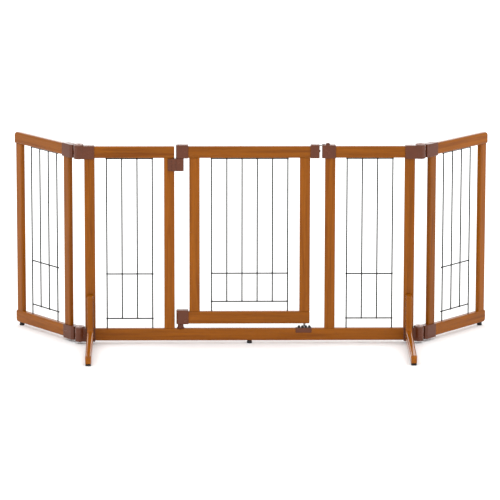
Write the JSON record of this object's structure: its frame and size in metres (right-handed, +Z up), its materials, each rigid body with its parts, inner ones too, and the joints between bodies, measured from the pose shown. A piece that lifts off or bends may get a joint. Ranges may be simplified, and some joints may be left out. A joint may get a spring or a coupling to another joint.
{
  "type": "folding pet gate",
  "caption": "Free-standing wooden pet gate with upright wires, a lift-and-swing centre door, folding side wings and forward support legs.",
  "frame": {"origin": "centre of the middle rubber foot's flat underside, on the floor", "axes": "+X to the viewer's right along the sill, +Y to the back where the wings fold, +Z up"},
  "size_m": [1.2242, 0.4959, 0.5177],
  "materials": {
    "wood": "satin lacquer over reddish brown stain",
    "plastic": "fine matte moulding texture",
    "wire": "dark powder coat",
    "rubber": "matte",
    "steel": "dark zinc"
  },
  "bodies": {
    "frame": {"left_top_rail": "wood", "left_outer_post": "wood", "left_inner_post": "wood", "left_support_leg": "wood", "left_wire_grid": "wire", "left_leg_pad": "rubber", "left_hinge_bracket_top": "plastic", "left_hinge_bracket_bottom": "plastic", "left_hinge_pins": "plastic", "right_top_rail": "wood", "right_outer_post": "wood", "right_inner_post": "wood", "right_support_leg": "wood", "right_wire_grid": "wire", "right_leg_pad": "rubber", "right_hinge_bracket_top": "plastic", "right_hinge_bracket_bottom": "plastic", "right_hinge_pins": "plastic", "sill_rail": "wood", "frame_dowels": "wood", "centre_foot": "rubber", "door_hinge_bracket": "plastic", "door_hinge_base": "plastic", "sill_latch_block": "plastic", "latch_keeper": "plastic", "keeper_knob": "plastic", "leg_bolts": "steel", "frame_screws": "steel", "door_hinge_pins": "steel"},
    "door_carrier": {"door_hinge_bushes": "plastic"},
    "door": {"door_top_rail": "wood", "door_bottom_rail": "wood", "door_left_stile": "wood", "door_right_stile": "wood", "door_dowels": "wood", "door_wire_grid": "wire", "door_hinge_cap_top": "plastic", "door_hinge_cap_bottom": "plastic", "door_latch_cap": "plastic", "door_latch_buffer": "plastic", "door_latch_tongue": "steel", "door_latch_pin": "steel"},
    "left_wing": {"left_wing_top_rail": "wood", "left_wing_bottom_rail": "wood", "left_wing_inner_post": "wood", "left_wing_outer_post": "wood", "left_wing_dowels": "wood", "left_wing_wire_grid": "wire", "left_wing_foot": "rubber", "left_wing_hinge_arm_top": "plastic", "left_wing_hinge_arm_bottom": "plastic"},
    "right_wing": {"right_wing_top_rail": "wood", "right_wing_bottom_rail": "wood", "right_wing_inner_post": "wood", "right_wing_outer_post": "wood", "right_wing_dowels": "wood", "right_wing_wire_grid": "wire", "right_wing_foot": "rubber", "right_wing_hinge_arm_top": "plastic", "right_wing_hinge_arm_bottom": "plastic"}
  },
  "joints": [
    {"name": "left_wing_hinge", "type": "hinge", "parent": "frame", "child": "left_wing", "pos_m": [-0.4315, 0, 0.26], "axis": [0, 0, -1], "range_deg": [-54, 64]},
    {"name": "right_wing_hinge", "type": "hinge", "parent": "frame", "child": "right_wing", "pos_m": [0.4315, 0, 0.26], "axis": [0, 0, 1], "range_deg": [-50, 68]},
    {"name": "door_swing", "type": "hinge", "parent": "frame", "child": "door_carrier", "pos_m": [-0.1755, 0, 0.26], "axis": [0, 0, 1], "range_deg": [-90, 90]},
    {"name": "door_lift", "type": "slide", "parent": "door_carrier", "child": "door", "axis": [0, 0, 1], "range_m": [0, 0.012]}
  ]
}
